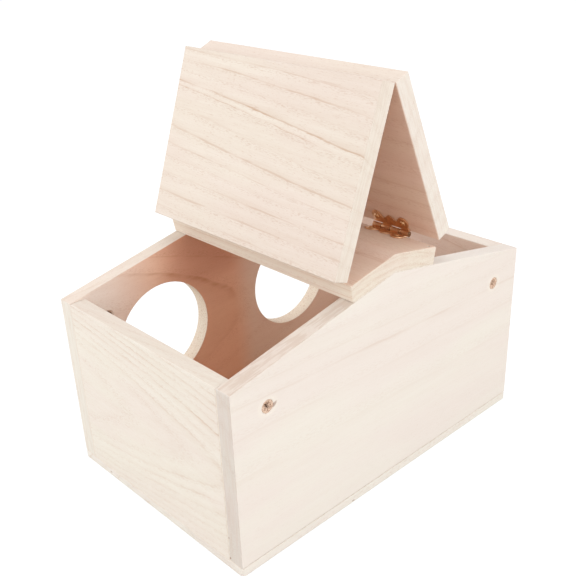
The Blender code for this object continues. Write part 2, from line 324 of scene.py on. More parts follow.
def years_of(tree, radius, table):
    """Count of years and darkness of the year, for a radius and a table of (edge, darkness)."""
    edges = [edge for edge, _ in table]
    reach = edges[-1] - edges[0]
    last = len(edges) - 1
    at = [(edge - edges[0]) / reach for edge in edges]
    spot = ramp(tree, radius, edges[0], edges[-1], soft=False)
    rise = [(where, number / last) for number, where in enumerate(at)]
    count = product_of(tree, curve_of(tree, spot, rise), float(last))
    step_width = 0.0005
    steps = [(0.0, table[1][1])]
    for number in range(1, last):
        steps += [(at[number], table[number][1]), (at[number] + step_width, table[number + 1][1])]
    steps.append((1.0, table[-1][1]))
    return count, curve_of(tree, spot, steps)


print("edges drawn by lot:", [round(edge) for edge, _ in drawn_years(40, 120, 12, 0.5, 1)])

# %% [markdown]
# The second group draws each year. Wood grows slowly darker through the year and ends in a thin
# dark line. The next spring's wood is pale, and it holds the wide pores. The lines come and go
# along a board, and below a board's fade level they are faint, as where a wide ring runs flat.

# %% Year line group
lines, given, result = new_group(
    "year_lines", ("Board", "Years", "Darkness", "Fade Level", "Seed"),
    ("Late Wood", "Early Wood", "Year Tone"))
line_rise, line_fall = (0.82, 0.95), (0.95, 1.0)
swell_rise, swell_fall, swell_left = (0.40, 0.96), (0.96, 1.0), 0.30
spring_fall = (0.05, 0.38)
fade_stretch, fade_reach = (0.02, 0.16, 0.16), 14.0
faint, strong = 0.3, 1.15

in_year = math_of(lines, "FRACT", given["Years"])
thin_line = product_of(lines, ramp(lines, in_year, *line_rise), ramp(lines, in_year, *line_fall, 1.0, 0.0))
swell = product_of(lines, ramp(lines, in_year, *swell_rise),
                   ramp(lines, in_year, *swell_fall, swell_left, 0.0))
late = product_of(lines, math_of(lines, "MAXIMUM", thin_line, swell), given["Darkness"])
fading = board_noise(lines, given, fade_stretch)
late = product_of(lines, late, ramp(lines, fading, 0.34, 0.62, faint, strong))
above = math_of(lines, "SUBTRACT", split(lines, given["Board"])["Y"], given["Fade Level"])
late = product_of(lines, late, ramp(lines, above, -fade_reach, fade_reach, faint, 1.0))
early = ramp(lines, in_year, *spring_fall, 1.0, 0.0)
year = math_of(lines, "ADD", math_of(lines, "FLOOR", given["Years"]), given["Seed"])
chance = put(lines, "TexWhiteNoise", {"W": year}, noise_dimensions="1D").outputs["Value"]
feed(lines, result, {"Late Wood": late, "Early Wood": early, "Year Tone": chance})
print("year_lines has", len(lines.nodes), "nodes")

# %% [markdown]
# ## Fibres and pores
#
# Paulownia is light and open: its pores are wide tubes that a saw cuts lengthwise on a face, where
# they show as short dark dashes, and crosswise on an end, where they show as dots. Noise that is
# drawn out along x gives both, because the same long cells are cut one way or the other.

# %% Fibre group
fibres, given, result = new_group(
    "fibres_and_pores", ("Board", "Early Wood", "Seed"), ("Streaks", "Pores"))
fine_cells, broad_cells, wide_tubes = (0.045, 1.1, 1.1), (0.012, 0.22, 0.22), (0.34, 2.6, 2.6)
fine_share = 0.55
spring_crowding = 0.12

fine = board_noise(fibres, given, fine_cells, 3.0, 0.6)
broad = board_noise(fibres, given, broad_cells)
streaks = ramp(fibres, shared(fibres, fine, broad, fine_share), 0.32, 0.68, soft=False)
pores = board_noise(fibres, given, wide_tubes, 1.0)
crowding = ramp(fibres, given["Early Wood"], 0.0, 1.0, 0.0, spring_crowding, soft=False)
pores = ramp(fibres, math_of(fibres, "ADD", pores, crowding), 0.62, 0.74)
feed(fibres, result, {"Streaks": streaks, "Pores": pores})
print("fibres_and_pores has", len(fibres.nodes), "nodes")

# %% [markdown]
# ## The wood
#
# One group turns the patterns into a colour, a roughness and a height. Sawn ends drink light, so
# they are greyer and darker than faces: the group takes the surface direction in the board's own
# axes and calls it an end where it points along the grain, an edge where it points across, and an
# eased corner where it points between the axes. Ends and edges have streaks of their own, and most
# edges have fainter year lines. Slow patches of pink and of straw keep boards from looking printed.

# %% Wood group and its masks
wood, given, result = new_group(
    "paulownia",
    ("Board", "Facing", "Years", "Darkness", "Fade Level", "Figure", "Tone", "Indoor Shade", "Under Roof",
     "Edge Shade", "Edge Lines", "End Shade", "End Colour", "Sawn Rim", "Halo", "Marks", "Seed"),
    ("Colour", "Roughness", "Height"))
end_turn, edge_turn, flat_turn = (0.55, 0.95), (0.60, 0.95), (0.80, 0.95)
patch_stretch, end_stretch = (0.007, 0.03, 0.03), (0.9, 0.05, 0.9)
speck_stretch, edge_stretch = (0.9, 1.3, 1.3), (0.012, 0.3, 0.6)
edge_unevenness = 0.6

figure, rim = given["Figure"], given["Sawn Rim"]
passed_on = {name: given[name] for name in ("Board", "Years", "Darkness", "Fade Level", "Seed")}
yearly = grouped(wood, lines, passed_on)
grain = grouped(wood, fibres, {"Board": given["Board"], "Early Wood": yearly["Early Wood"],
                               "Seed": given["Seed"]})
facing = split(wood, vector_of(wood, "ABSOLUTE", given["Facing"]))
end_cut = ramp(wood, facing["X"], *end_turn)
edge_cut = ramp(wood, facing["Y"], *edge_turn)
flatness = math_of(wood, "MAXIMUM", facing["Z"], math_of(wood, "MAXIMUM", facing["X"], facing["Y"]))
# Eased corners get dimmed further on, as painted shade against the lamp highlight they catch.
eased = ramp(wood, flatness, *flat_turn, 1.0, 0.0)
patches = ramp(wood, board_noise(wood, given, patch_stretch), 0.35, 0.65)
end_streaks = ramp(wood, board_noise(wood, given, end_stretch), 0.42, 0.62)
specks = ramp(wood, board_noise(wood, given, speck_stretch, 1.0), 0.56, 0.66)
swing = product_of(wood, given["Edge Shade"], edge_unevenness)
edge_streaks = ramp(wood, board_noise(wood, given, edge_stretch), 0.44, 0.58,
                    math_of(wood, "SUBTRACT", 1.0, swing), math_of(wood, "ADD", 1.0, swing))
print("masks of the wood:", len(wood.nodes), "nodes")

# %% Wood colour
straw, pink = (0.86, 0.825, 0.77), (0.855, 0.795, 0.755)
line_brown, streak_brown, pore_brown = (0.51, 0.30, 0.17), (0.62, 0.46, 0.36), (0.52, 0.31, 0.20)
year_tan, edge_brown, rim_sand = (0.62, 0.50, 0.41), (0.47, 0.31, 0.21), (1.0, 0.86, 0.68)
# Painted shade, all three: a warm brown for the inside and the tent, a deeper shade under the roof, and a
# dimming of eased corners against the lamp highlight they catch.
indoor_shade_tint, roof_shade, eased_shade_tint = (1.06, 0.725, 0.575), (0.87, 0.78, 0.765), (0.955, 0.95, 0.945)
halo_cream, mark_brown = (0.93, 0.88, 0.80), (0.24, 0.10, 0.05)
year_share, streak_share, pore_share, end_streak_share = 0.10, 0.18, 0.28, 0.16
rim_share, speck_share = 0.40, 0.45

line_share = ramp(wood, math_of(wood, "MAXIMUM", edge_cut, rim), 0.0, 1.0, 1.0, given["Edge Lines"])
off_rim = math_of(wood, "SUBTRACT", 1.0, rim)
colour = coated(wood, blend_of(wood, patches, straw, pink), (
    (product_of(wood, yearly["Late Wood"], line_share), line_brown),
    (product_of(wood, yearly["Year Tone"], figure, year_share), year_tan),
    (product_of(wood, grain["Streaks"], figure, streak_share), streak_brown),
    (product_of(wood, grain["Pores"], math_of(wood, "ADD", figure, end_cut), pore_share), pore_brown),
    (product_of(wood, end_cut, given["End Shade"]), given["End Colour"]),
    (product_of(wood, end_cut, end_streaks, end_streak_share), streak_brown)))
# Painted shade: the indoor warm brown, the deeper shade under the roof, and the eased corners dimmed against
# their lamp highlight.
colour = coated(wood, colour, (
    (given["Indoor Shade"], indoor_shade_tint), (given["Under Roof"], roof_shade), (eased, eased_shade_tint)), "MULTIPLY")
# Edges: a browner, streaky tone, partly edge grain and partly painted shade that dims the top edges; then
# the rims and the rings round the cord holes.
colour = coated(wood, colour, (
    (product_of(wood, edge_cut, given["Edge Shade"], edge_streaks, off_rim), edge_brown),
    (product_of(wood, rim, rim_share), rim_sand),
    (product_of(wood, rim, specks, speck_share), pore_brown),
    (given["Halo"], halo_cream)))
colour = blend_of(wood, 1.0, colour, given["Tone"], "MULTIPLY")
colour = blend_of(wood, given["Marks"], colour, mark_brown)
print("with its colours:", len(wood.nodes), "nodes")

# %% Wood roughness and height
smooth, rough, rougher_ends = 0.56, 0.72, 0.15
streak_rise, late_rise, pore_drop = 0.35, 0.4, 0.8

roughness = ramp(wood, grain["Streaks"], 0.0, 1.0, smooth, rough, soft=False)
roughness = math_of(wood, "ADD", roughness, product_of(wood, end_cut, rougher_ends))
height = product_of(wood, grain["Streaks"], streak_rise)
height = math_of(wood, "ADD", height, product_of(wood, yearly["Late Wood"], late_rise))
height = math_of(wood, "SUBTRACT", height, product_of(wood, grain["Pores"], pore_drop))
feed(wood, result, {"Colour": colour, "Roughness": roughness, "Height": height})
print("paulownia has", len(wood.nodes), "nodes")

# %% [markdown]
# ## Places that differ
#
# Two more groups find places on the box from object coordinates. The first finds the inside, where
# a warm brown is painted on as shade. The painted shade is strongest next to the middle, on the
# right lid's side, where it deepens close under the roof, and it fades towards both ends. The group
# also finds the half of the box where edges keep their brown: beyond it the brown fades out, as
# painted light for edges that get less lamp light. It also finds the pale rings that a drill rubs
# round the cord holes outside, and the sandy, speckled rims of the entrances.

# %% Inside group
places, given, result = new_group(
    "inside_and_holes", ("Place", "Wall Reach"),
    ("Inside", "Under Roof", "Shaded Half", "Hole Rings", "Sawn Rim"))
skin = 0.1 * mm
wall_inner, wall_outer = (corner[1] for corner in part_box("back_panel"))
long_reach = wall_inner + skin
above_floor = 3 * mm
right_fade, right_rest = (52 * mm, 122 * mm), 0.15
left_fade, left_rest = (-24 * mm, 0.0), 0.48
roof_right_fade, roof_left_fade, roof_rise = (46 * mm, 74 * mm), (-15 * mm, 3 * mm), (104 * mm, 121 * mm)
# The half whose edges keep their brown: beyond x = -10 mm it fades out, as painted light for edges that get
# less lamp light.
shaded_half_from = (-50 * mm, -10 * mm)

folded = vector_of(places, "ABSOLUTE", given["Place"])
off_middle = split(places, folded)
along_box = split(places, given["Place"])["X"]
within = product_of(places,
                    math_of(places, "LESS_THAN", off_middle["X"], given["Wall Reach"]),
                    math_of(places, "LESS_THAN", off_middle["Y"], long_reach),
                    math_of(places, "GREATER_THAN", off_middle["Z"], above_floor))
# Painted shade inside: strongest from the middle to 52 mm towards +X, fading towards both ends.
warm = product_of(places, ramp(places, along_box, *right_fade, 1.0, right_rest),
                  ramp(places, along_box, *left_fade, left_rest, 1.0))
# Painted shade under the roof: high on the inner walls, from about x = -15 to 74 mm.
shaded = product_of(places, ramp(places, off_middle["Z"], *roof_rise),
                    ramp(places, along_box, *roof_right_fade, 1.0, 0.0),
                    ramp(places, along_box, *roof_left_fade))
feed(places, result, {"Inside": product_of(places, within, warm),
                      "Under Roof": product_of(places, within, shaded),
                      "Shaded Half": ramp(places, along_box, *shaded_half_from)})
print("inside: |x| below a wall's reach, |y| below", round(long_reach / mm, 1), "mm")

# %% Hole rings and entrance rims
hole_x, hole_z = 112.3 * mm, 113.3 * mm
door_x, door_z, door_radius = 65.25 * mm, 81.6 * mm, 40 * mm
ring_fade, ring_flatness, ring_share = (4.8 * mm, 7.8 * mm), 0.8, 0.40
wall_middle, half_wall = (wall_inner + wall_outer) / 2, (wall_outer - wall_inner) / 2 - 2 * skin
rim_depth = 0.5 * mm


def distance_from(x, z, flatness):
    """Distance from a place on the long side, with the way along the box weighed by a flatness."""
    off = vector_of(places, "SUBTRACT", folded, (x, 0, z))
    return vector_of(places, "LENGTH", vector_of(places, "MULTIPLY", off, (flatness, 0, 1)), output="Value")


hole_distance = distance_from(hole_x, hole_z, ring_flatness)
outside = math_of(places, "GREATER_THAN", off_middle["Y"], wall_middle)
in_wall = math_of(places, "COMPARE", off_middle["Y"], wall_middle, half_wall)
in_door = math_of(places, "LESS_THAN", distance_from(door_x, door_z, 1), door_radius + rim_depth)
feed(places, result, {
    "Hole Rings": product_of(places, ramp(places, hole_distance, *ring_fade, ring_share, 0.0), outside),
    "Sawn Rim": product_of(places, in_wall, in_door)})
print("cord holes lie", hole_x, "m from the middle, and entrances", door_x)

# %% [markdown]
# The second group holds a few small blemishes, each a soft brown spot with its own place, lean and
# size in millimetres: a splinter beside one hole, two nail holes in a corner, and bruises on edges.
# A Mapping node set to Texture takes a spot's place, turn and size out of the coordinates, so that
# every spot is a ball of radius 1 in its own axes.

# %% Small marks group
marks, given, result = new_group("small_marks", ("Place",), ("Marks",))
blemishes = [
    ((107.3, 90.0, 112.6), 38, (3.5, 1.5, 1.6), 0.60),
    ((140.0, 78.5, 25.3), 0, (1.5, 0.9, 1.0), 0.8),
    ((140.0, 78.6, 9.0), 0, (1.5, 1.0, 1.1), 0.9),
    ((140.0, -57.0, 3.2), 0, (1.5, 1.6, 0.8), 0.55),
    ((39.7, 90.0, 1.6), 0, (1.8, 1.5, 0.8), 0.55),
    ((-140.0, 51.6, 132.6), 0, (1.5, 2.6, 1.2), 0.5)]


def own_axes(tree, vector, turn, centre=(0, 0, 0), size=(1, 1, 1)):
    """Vector in the axes of a board or a spot, with its centre and size taken out."""
    feeds = {"Vector": vector, "Location": centre, "Rotation": turn, "Scale": size}
    return put(tree, "Mapping", feeds, vector_type="TEXTURE").outputs[0]


marked = 0.0
for spot, lean, size, share in blemishes:
    turn = (0, math.radians(lean), 0)
    from_spot = own_axes(marks, given["Place"], turn, Vector(spot) * mm, Vector(size) * mm)
    distance = vector_of(marks, "LENGTH", from_spot, output="Value")
    marked = math_of(marks, "MAXIMUM", marked, ramp(marks, distance, 0.35, 1.0, share, 0.0))
feed(marks, result, {"Marks": marked})
print(len(blemishes), "blemishes")

# %% [markdown]
# ## One material for each board
#
# Every board was sawn from its own place in the trunk. A board's material therefore carries its own
# grain direction, pith, years and seed, while the pattern itself is shared. A Mapping node turns
# object coordinates into the board's own directions, and another gives the surface direction the
# same turn, so that ends are found on tilted lids too.

# %% Board places and material parts
def board_turn(grain_way, face_way, lean):
    """Turn from a board's own axes to the object's, leaned within the face and out of it, in degrees."""
    z = Vector(face_way).normalized()
    x = Vector(grain_way).normalized()
    turn = Matrix((x, z.cross(x), z)).transposed().to_4x4()
    in_face, out_of_face = map(math.radians, lean)
    return (turn @ Matrix.Rotation(in_face, 4, "Z") @ Matrix.Rotation(out_of_face, 4, "Y")).to_euler()


def middle(node):
    """Centre of a piece's box."""
    low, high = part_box(node)
    return (Vector(low) + Vector(high)) / 2


def new_look(name):
    """New material: itself, its tree, its shader, and the outputs of its texture coordinates."""
    made = bpy.data.materials.new(name)
    made.use_nodes = True
    tree = made.node_tree
    return made, tree, tree.nodes["Principled BSDF"], put(tree, "TexCoord").outputs


def relief_of(tree, height, strength, distance):
    """Surface direction bent by a height."""
    feeds = {"Height": height, "Strength": strength, "Distance": distance}
    return put(tree, "Bump", feeds).outputs["Normal"]


def dress(name, look):
    """Give a solid one material in place of its plain one."""
    nodes[name].data.materials.clear()
    nodes[name].data.materials.append(look)


print("an end board is turned by", board_turn((0, 1, 0), (1, 0, 0), (0, 0)))

# %% Board material
nowhere = -1000.0
end_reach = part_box("right_end_panel")[0][0] + skin
whole_reach = cad_box[1][0] + 0.5 * mm
back_turn = (-0.9, -0.5)


def dress_board(name, grain, face, lean, pith, years, wander, seed, level=0.0, figure=1.0,
                tone=(1, 1, 1), back_tone=None, edge=0.0, edge_lines=0.35, end=0.3,
                end_colour=(0.50, 0.45, 0.40), inside=1.0, behind=0.0, wall_reach=end_reach,
                swirl=0.0, swirl_level=0.0, fade_level=nowhere, fuzz=1.8):
    """Bare wood for one board.

    grain, face and lean give its directions, pith (in millimetres from its middle, which level
    raises), wander, swirl and fuzz the trunk it was cut from, and years its table of years.
    figure says how lively the wood is, and fade_level below which height its lines are faint.
    tone and back_tone colour the seen and the hidden face. edge and end shade edges and ends, and
    edge_lines is the share of the lines that edges keep. inside and behind say how much of the
    indoor painted shade, a warm brown tint, the board takes within the walls and on its hidden face,
    which lies in the tent, and wall_reach how far along x the inside goes.
    """
    look, tree, shader, source = new_look(name + "_wood")
    turn = board_turn(grain, face, lean)
    spot = own_axes(tree, source["Object"], turn, middle(name) + Vector((0, 0, level)) * mm, (mm, mm, mm))
    facing = own_axes(tree, source["Normal"], turn)
    sawn = grouped(tree, trunk, {"Board": spot, "Pith": (0, *pith), "Wander": wander, "Swirl": swirl,
                                 "Swirl Level": swirl_level, "Fuzz": fuzz, "Seed": seed})
    count, darkness = years_of(tree, sawn["Radius"], years)
    found = grouped(tree, places, {"Place": source["Object"], "Wall Reach": wall_reach})
    spots = grouped(tree, marks, {"Place": source["Object"]})
    # Painted shade: the indoor warm brown within the walls and on the hidden face, which lies in the tent.
    hidden = ramp(tree, split(tree, facing)["Z"], *back_turn, 1.0, 0.0)
    warmth = math_of(tree, "MAXIMUM", product_of(tree, found["Inside"], inside),
                     product_of(tree, hidden, behind))
    dressed = grouped(tree, wood, {
        "Board": spot, "Facing": facing, "Years": count, "Darkness": darkness, "Fade Level": fade_level,
        "Figure": figure, "Tone": blend_of(tree, hidden, tone, back_tone or tone), "Indoor Shade": warmth,
        "Under Roof": product_of(tree, found["Under Roof"], inside),
        "Edge Shade": product_of(tree, found["Shaded Half"], edge), "Edge Lines": edge_lines,
        "End Shade": end, "End Colour": opaque(end_colour), "Sawn Rim": found["Sawn Rim"],
        "Halo": found["Hole Rings"], "Marks": spots["Marks"], "Seed": seed})
    feed(tree, shader, {"Base Color": dressed["Colour"], "Roughness": dressed["Roughness"],
                        "Normal": relief_of(tree, dressed["Height"], 0.35, 0.15 * mm),
                        "Specular IOR Level": 0.25})
    dress(name, look)


print("warmth reaches", round(end_reach / mm, 1), "or", round(whole_reach / mm, 1), "mm along x")

# %% Lids
along_x, along_y, upward = (1, 0, 0), (0, 1, 0), (0, 0, 1)
right_tilt, left_tilt = math.radians(20.03), math.radians(23.16)
right_lid_years = [
    (98, 0.3), (107, 0.35), (114.5, 0.5), (121.9, 0.7), (129, 0.15), (138.0, 1.0), (141.5, 0.8), (156, 0.25),
    (168.6, 0.6), (177.4, 0.65), (184, 0.25), (192.8, 0.6), (204.0, 0.55), (214, 0.35), (226, 0.35)]
dress_board(
    "right_lid", along_y, (math.cos(right_tilt), 0, math.sin(right_tilt)), (-1.8, 1), (150, -55),
    paler(right_lid_years, 0.62), 5, 3.1, tone=(0.892, 0.878, 0.852), back_tone=(1.05, 1.02, 1.0),
    end=0.62, end_colour=(0.92, 0.90, 0.85), inside=0, behind=0.34, swirl=0.109, swirl_level=15)
dress_board(
    "left_lid", along_y, (-math.cos(left_tilt), 0, math.sin(left_tilt)), (3, 1), (-90, -60),
    drawn_years(50, 190, 12, 0.35, 8), 9, 8.4, tone=(0.975, 0.975, 0.955), back_tone=(1.05, 1.02, 0.995),
    edge=0.16, end=0.5, end_colour=(0.82, 0.81, 0.79), inside=0, behind=0.40)
print("lids dressed, the right one with", len(right_lid_years), "years")

# %% Long sides
back_years = [(20, 0.05), (45, 0.05), (70, 0.05), (90, 0.06), (106.9, 0.17), (116, 0.07), (128, 0.05),
              (142, 0.05)]
front_years = [(84, 0.2), (95, 0.2), (108, 0.25), (120, 0.85), (126, 0.4), (133, 0.25), (141, 0.3),
               (150, 0.25), (160, 0.3), (171, 0.3), (184, 0.3)]
dress_board(
    "back_panel", along_x, (0, 1, 0), (-3, 1), (60, -46), back_years, 5, 5.2, figure=0.35,
    tone=(0.962, 0.982, 0.989), edge=0.39, end=0.38, end_colour=(0.50, 0.46, 0.43), wall_reach=whole_reach)
dress_board(
    "front_panel", along_x, (0, -1, 0), (0, -8.6), (0, -124), paler(front_years, 0.6), 5, 1.7, level=-3.6,
    figure=0.9, tone=(0.98, 0.985, 0.965), edge=0.18, end=0.75, end_colour=(0.80, 0.80, 0.77),
    wall_reach=whole_reach, fade_level=14.0, fuzz=0.6)
print("long sides dressed with", len(back_years), "and", len(front_years), "years")

# %% Ends, bottom and ridge
end_years = [(40, 0.05), (47, 0.05), (54, 0.1), (58.8, 0.4), (62.5, 0.5), (66.8, 0.75), (70.5, 0.5),
             (74.3, 0.7), (78, 0.5), (82, 0.55), (87, 0.5), (92, 0.4), (98, 0.4)]
dress_board(
    "right_end_panel", along_y, (1, 0, 0), (0, 6.6), (0, -44), paler(end_years, 0.6), 5, 6.6, figure=0.8,
    tone=(0.96, 0.99, 0.985), edge=0.18, fade_level=-38.0)
dress_board(
    "left_end_panel", along_y, (-1, 0, 0), (5, 2), (90, -50), drawn_years(30, 190, 12, 0.4, 2), 12, 2.3,
    figure=0.8, edge=0.22, inside=0.5)
dress_board(
    "bottom_board", along_x, upward, (1, 1), (60, -90), drawn_years(80, 190, 11, 0.4, 9), 14, 9.8,
    figure=0.6, tone=(0.98, 1.02, 1.03), end_colour=(0.82, 0.82, 0.79))
dress_board(
    "ridge_board", along_y, (0, 0, -1), (0.5, 0.5), (5, 88), drawn_years(60, 130, 4.2, 0.6, 4), 4, 4.2,
    tone=(1.04, 1.04, 1.00), edge=0.22, edge_lines=1.5, end=0.2, inside=0, behind=0.35)
print("all eight boards dressed")

# %% [markdown]
# ## Brass plate, screws and steel
#
# The hinges are thin pressed plate with a reddish brass finish, and the screws are a little more
# yellow. Handling leaves cloudy patches and small specks, so colour and roughness both follow a
# slow noise and a fine one. Metal shows little but tinted reflections, so the light around it
# matters as much as its colour. The ends of the rolled barrel and of its pin are painted dark brown
# as shade, and made duller. They are the faces that look along the box's width near the pins. The
# pin's own dark brown is painted shade too, because it lies inside the barrel.

# %% Metal group
metal, given, result = new_group(
    "handled_metal", ("Place", "Facing", "Bright", "Dull", "Polish"), ("Colour", "Roughness", "Height"))
cloud_scale, speck_scale, cloud_share = 260.0, 1300.0, 0.9
barrel_edge = (1.9 * mm, 2.1 * mm)
barrel_end_shade = (0.24, 0.11, 0.05)

cloud = noise(metal, given["Place"], cloud_scale)
speck = noise(metal, given["Place"], speck_scale)
tarnish = ramp(metal, shared(metal, cloud, speck, cloud_share), 0.40, 0.66)
pin_line = middle("left_back_hinge_pin")
place = split(metal, given["Place"])
beside_pin = math_of(metal, "SUBTRACT", math_of(metal, "ABSOLUTE", place["X"]), abs(pin_line.x))
above_pin = math_of(metal, "SUBTRACT", place["Z"], pin_line.z)
squares = [math_of(metal, "POWER", way, 2.0) for way in (beside_pin, above_pin)]
from_pin = math_of(metal, "SQRT", math_of(metal, "ADD", *squares))
facing = split(metal, vector_of(metal, "ABSOLUTE", given["Facing"]))
# Painted shade: the end faces of the barrel and the pin are darkened to brown, and made duller.
barrel_end_mask = product_of(metal, ramp(metal, from_pin, *barrel_edge, 1.0, 0.0),
                     ramp(metal, facing["Y"], 0.80, 0.95))
plated = blend_of(metal, product_of(metal, tarnish, 0.5), given["Bright"], given["Dull"])
rough = math_of(metal, "MULTIPLY_ADD", tarnish, 0.1, given["Polish"])
feed(metal, result, {"Colour": blend_of(metal, barrel_end_mask, plated, barrel_end_shade),
                     "Roughness": math_of(metal, "MULTIPLY_ADD", barrel_end_mask, 0.3, rough),
                     "Height": math_of(metal, "ADD", cloud, speck)})
print("handled_metal has", len(metal.nodes), "nodes")

# %% Metal materials
finishes = {
    "leaf": ("hinge_plate", (0.86, 0.56, 0.33), (0.56, 0.32, 0.19), 0.32),
    "screw": ("screw_brass", (0.88, 0.62, 0.38), (0.62, 0.38, 0.20), 0.26),
    # The pin's dark brown is painted shade: it shows only at the barrel's ends and in the gaps between
    # knuckles.
    "pin": ("pin_steel", (0.36, 0.24, 0.15), (0.24, 0.15, 0.09), 0.45),
    "brad": ("drawn_steel", (0.62, 0.61, 0.59), (0.38, 0.36, 0.34), 0.30)}


def metal_material(name, bright, dull, polish):
    """Plated or drawn metal with cloudy wear."""
    look, tree, shader, source = new_look(name)
    worn = grouped(tree, metal, {"Place": source["Object"], "Facing": source["Normal"],
                                 "Bright": opaque(bright), "Dull": opaque(dull), "Polish": polish})
    feed(tree, shader, {"Base Color": worn["Colour"], "Roughness": worn["Roughness"], "Metallic": 1.0,
                        "Normal": relief_of(tree, worn["Height"], 0.05, 0.01 * mm)})
    return look


for word, finish in finishes.items():
    look = metal_material(*finish)
    named = [name for name in nodes if word in name]
    for name in named:
        dress(name, look)
    print(len(named), "pieces named", word, "in", look.name)

# %% [markdown]
# ## Rounded plate
#
# A press pushes a leaf's outline through the sheet and rolls its edges over, so on a real hinge the
# edges catch the light as fine gold lines. The solid leaves have sharp edges. Each gets a twin: the
# same shape with doubled points merged and flat faces made whole, on which a Bevel modifier rounds
# every sharp edge. The solid is hidden and the twin stands for it.

# %% Rounded leaves
rolled_edge, roll_steps = 0.22 * mm, 3
merge_distance = 0.002 * mm
flat_angle, sharp_angle = math.radians(1), math.radians(40)


def rounded_twin(name):
    """Copy of a solid, points merged and flat faces joined, with its sharp edges rolled over."""
    mesh = nodes[name].data.copy()
    work = bmesh.new()
    work.from_mesh(mesh)
    bmesh.ops.remove_doubles(work, verts=work.verts, dist=merge_distance)
    bmesh.ops.dissolve_limit(work, angle_limit=flat_angle, verts=work.verts, edges=work.edges)
    work.to_mesh(mesh)
    work.free()
    mesh.polygons.foreach_set("use_smooth", np.ones(len(mesh.polygons), bool))
    twin = add_object(name + "_rounded", mesh)
    rounding = twin.modifiers.new("rolled_edges", "BEVEL")
    rounding.width = rolled_edge
    rounding.segments = roll_steps
    rounding.limit_method = "ANGLE"
    rounding.angle_limit = sharp_angle
    rounding.harden_normals = True
    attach(twin, nodes[name]["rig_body"])
    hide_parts(name)
    return twin


leaves = [rounded_twin(name) for name in nodes if name.endswith("leaf")]
print(len(leaves), "rounded leaves of", len(leaves[0].data.polygons), "faces each")

# %% [markdown]
# ## Glue lines
#
# The boards are glued edge to face, and the box was sanded when the glue was dry, so each outer seam
# is filled with a mix of glue and wood dust, a hair below the faces. Without it the seams would be
# dark slits. A glue line is a small profile, wide at the eased edges and narrow in the seam behind
# them, carried along the seam's path. Its depth wavers a little.

# %% Pieces from grids of points
def ragged(first, second, seed, scales):
    """Smooth noise on a grid: a sum of sine waves with seeded directions and phases, about -1 to 1."""
    lot = np.random.default_rng(seed)
    total = np.zeros(np.broadcast(first, second).shape)
    for scale in scales:
        for _ in range(5):
            turns = lot.integers(1, scale + 1)
            through = lot.uniform(-scale, scale)
            phase = lot.uniform(0, 2 * np.pi)
            total += np.sin(turns * first + through * second + phase) / 3
    return total / len(scales)


def wooden_piece(name, points, faces, look):
    """Piece of the box from a grid of points in metres and a list of faces."""
    mesh = bpy.data.meshes.new(name)
    mesh.from_pydata(points.reshape(-1, 3).tolist(), [], faces)
    mesh.materials.append(look)
    piece = add_object(name, mesh)
    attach(piece, "box")
    return piece


def capped_run(name, points, look):
    """Piece from a grid of points that closes round its second way, with a flat cap at both ends."""
    index = np.arange(points[..., 0].size).reshape(points.shape[:2])
    beside = np.roll(index, -1, 1)
    walls = np.stack([index[:-1], beside[:-1], beside[1:], index[1:]], -1).reshape(-1, 4).tolist()
    piece = wooden_piece(name, points, walls + [index[0].tolist(), index[-1].tolist()], look)
    work = bmesh.new()
    work.from_mesh(piece.data)
    bmesh.ops.recalc_face_normals(work, faces=work.faces)
    work.to_mesh(piece.data)
    work.free()
    return piece


print("raggedness at three places:", ragged(np.arange(3), 0.0, 1, (3, 7)).round(2))

# %% Seam profile
seam_half, edge_ease, glue_depth = 0.15, 0.40, 1.4
mean_recess, recess_swing, swing_length = 0.10, 0.04, 9.0
eased_room, seam_room = 0.03, 0.02
path_step = 2.5


def glue_line(name, corners, outward, across, seed, look):
    """Glue in one seam: point = path - depth times outward + half-width times across.

    The path runs straight from corner to corner, in millimetres. The glue's face lies a wavering
    recess below the boards' faces, and its half-width there is what the two eased edges leave:
    their ease less the recess, plus half the seam, less a little room.
    """
    corners, outward, across = (np.array(value, float) for value in (corners, outward, across))
    runs = np.concatenate([[0.0], np.cumsum(np.linalg.norm(np.diff(corners, axis=0), axis=1))])
    along = np.union1d(np.linspace(0.0, runs[-1], int(runs[-1] / path_step) + 2), runs)
    path = np.stack([np.interp(along, runs, corners[:, axis]) for axis in range(3)], -1)
    recess = mean_recess + recess_swing * ragged(along / swing_length, 0.0, seed, (3, 7))
    wide = seam_half + edge_ease - recess - eased_room
    even = np.ones_like(recess)
    narrow = even * (seam_half - seam_room)
    depth = np.stack([recess, even * edge_ease, even * glue_depth] * 2, -1)
    depth[:, 3:] = depth[:, 5:2:-1]
    half = np.stack([wide, narrow, narrow, -narrow, -narrow, -wide], -1)
    points = path[:, None] - depth[..., None] * outward + half[..., None] * across
    return capped_run(name, points * mm, look)


print("a glue line's face lies", mean_recess, "mm deep, give or take", recess_swing)

# %% Rubbed glue
rubbed, tree, shader, source = new_look("rubbed_glue")
dusty = noise(tree, source["Object"], 420.0, 3.0)
glue_colour = blend_of(tree, ramp(tree, dusty, 0.36, 0.64), (0.82, 0.77, 0.71), (0.74, 0.67, 0.59))
feed(tree, shader, {"Base Color": glue_colour, "Roughness": ramp(tree, dusty, 0.3, 0.7, 0.5, 0.75),
                    "Normal": relief_of(tree, dusty, 0.3, 0.05 * mm), "Specular IOR Level": 0.3})
print("rubbed_glue has", len(tree.nodes), "nodes")

# %% [markdown]
# The seams' paths come from the boards. Each long side has one along the bottom and one up over the
# gable, under the ridge board. Each end has one along the bottom and two that stand at its corners.

# %% Seam paths
def in_mm(metres):
    """Length of the frame in millimetres, to the hundredth."""
    return round(metres / mm, 2)


